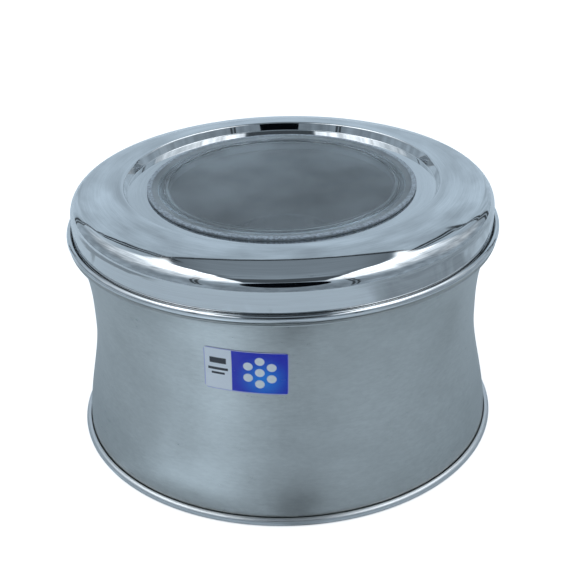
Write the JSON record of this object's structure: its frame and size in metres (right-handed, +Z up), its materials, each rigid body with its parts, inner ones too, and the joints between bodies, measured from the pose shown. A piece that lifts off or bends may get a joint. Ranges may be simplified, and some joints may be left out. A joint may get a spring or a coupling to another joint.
{
  "type": "masala dabba spice box",
  "caption": "Round waisted stainless steel spice box with a domed lift-off lid, a see-through window, loose inner bowls and a small spoon.",
  "frame": {"origin": "centre of the foot ring, on the surface that the box stands on", "axes": "+Z up along the box's axis, -Y towards the front with the sticker, +X to the right seen from the front"},
  "size_m": [0.207, 0.207, 0.1252],
  "materials": {
    "wall_steel": "stainless steel brushed around the wall, satin",
    "base_steel": "stainless steel, satin",
    "sticker": "glossy printed sticker, white and blue",
    "lid_steel": "stainless steel, mirror polished",
    "window_plastic": "clear plastic with a fine frosted band",
    "seal": "translucent silicone",
    "lock_ring_plastic": "milky translucent plastic",
    "bowl_steel": "stainless steel, polished",
    "spoon_steel": "stainless steel, polished"
  },
  "bodies": {
    "box": {"body_shell": "wall_steel", "base_plate": "base_steel", "label_sticker": "sticker"},
    "lid": {"lid_shell": "lid_steel", "window_pane": "window_plastic", "window_gasket": "seal", "window_lock_ring": "lock_ring_plastic"},
    "bowl_centre": {"bowl_centre": "bowl_steel"},
    "bowl_back": {"bowl_back": "bowl_steel"},
    "bowl_back_right": {"bowl_back_right": "bowl_steel"},
    "bowl_front_right": {"bowl_front_right": "bowl_steel"},
    "bowl_front": {"bowl_front": "bowl_steel"},
    "bowl_front_left": {"bowl_front_left": "bowl_steel"},
    "bowl_back_left": {"bowl_back_left": "bowl_steel"},
    "spoon": {"spoon": "spoon_steel"}
  },
  "joints": [
    {"name": "lid_lift", "type": "slide", "parent": "box", "child": "lid", "axis": [0, 0, 1], "range_m": [0, 0.26]},
    {"name": "bowl_centre_lift", "type": "slide", "parent": "box", "child": "bowl_centre", "axis": [0, 0, 1], "range_m": [0, 0.13]},
    {"name": "bowl_back_lift", "type": "slide", "parent": "box", "child": "bowl_back", "axis": [0, 0, 1], "range_m": [0, 0.13]},
    {"name": "bowl_back_right_lift", "type": "slide", "parent": "box", "child": "bowl_back_right", "axis": [0, 0, 1], "range_m": [0, 0.13]},
    {"name": "bowl_front_right_lift", "type": "slide", "parent": "box", "child": "bowl_front_right", "axis": [0, 0, 1], "range_m": [0, 0.13]},
    {"name": "bowl_front_lift", "type": "slide", "parent": "box", "child": "bowl_front", "axis": [0, 0, 1], "range_m": [0, 0.13]},
    {"name": "bowl_front_left_lift", "type": "slide", "parent": "box", "child": "bowl_front_left", "axis": [0, 0, 1], "range_m": [0, 0.13]},
    {"name": "bowl_back_left_lift", "type": "slide", "parent": "box", "child": "bowl_back_left", "axis": [0, 0, 1], "range_m": [0, 0.13]},
    {"name": "spoon_lift", "type": "slide", "parent": "box", "child": "spoon", "axis": [0, 0, 1], "range_m": [0, 0.182]}
  ],
  "couplings": [
    {"joint": "bowl_centre_lift", "follows": "lid_lift", "ratio": 0.5},
    {"joint": "bowl_back_lift", "follows": "lid_lift", "ratio": 0.5},
    {"joint": "bowl_back_right_lift", "follows": "lid_lift", "ratio": 0.5},
    {"joint": "bowl_front_right_lift", "follows": "lid_lift", "ratio": 0.5},
    {"joint": "bowl_front_lift", "follows": "lid_lift", "ratio": 0.5},
    {"joint": "bowl_front_left_lift", "follows": "lid_lift", "ratio": 0.5},
    {"joint": "bowl_back_left_lift", "follows": "lid_lift", "ratio": 0.5},
    {"joint": "spoon_lift", "follows": "lid_lift", "ratio": 0.7}
  ]
}
